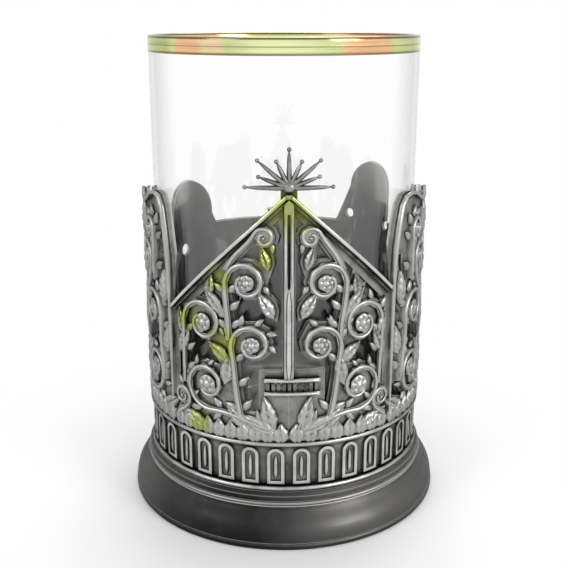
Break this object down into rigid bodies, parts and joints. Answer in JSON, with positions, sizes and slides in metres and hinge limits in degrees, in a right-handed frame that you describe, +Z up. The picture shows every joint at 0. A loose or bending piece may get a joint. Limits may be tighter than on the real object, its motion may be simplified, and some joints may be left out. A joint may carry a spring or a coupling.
{
  "type": "tea glass holder",
  "caption": "Round metal tea glass holder with a pierced scrollwork wall, a flared foot and a back handle, holding a straight glass with a gilded lip.",
  "frame": {"origin": "centre of the round foot, in the plane that it stands on", "axes": "+Z up along the axis of the glass, -Y towards the front with the gable and the star, +Y towards the handle, +X to the right as seen from the front"},
  "size_m": [0.084, 0.113, 0.1213],
  "materials": {
    "aged_silver": "satin",
    "foot_metal": "satin",
    "clear_glass": "polished",
    "gilding": "polished"
  },
  "bodies": {
    "holder": {"foot_shell": "foot_metal", "foot_edge_ring": "foot_metal", "floor_disc": "aged_silver", "frieze_band": "aged_silver", "frieze_lower_bead": "aged_silver", "frieze_upper_bead": "aged_silver", "openwork_front_left": "aged_silver", "openwork_front_right": "aged_silver", "openwork_left": "aged_silver", "openwork_right": "aged_silver", "openwork_back_left": "aged_silver", "openwork_back_right": "aged_silver", "back_strap": "aged_silver", "centre_post": "aged_silver", "gable_rail_left": "aged_silver", "gable_rail_right": "aged_silver", "starburst": "aged_silver", "balustrade": "aged_silver", "handle_bow": "aged_silver", "handle_thumb_rest": "aged_silver", "handle_upper_bracket": "aged_silver", "handle_lower_bracket": "aged_silver"},
    "glass": {"tumbler": "clear_glass", "gilt_rim": "gilding"}
  },
  "joints": [
    {"name": "glass_lift", "type": "slide", "parent": "holder", "child": "glass", "axis": [0, 0, 1], "range_m": [0, 0.09]}
  ]
}
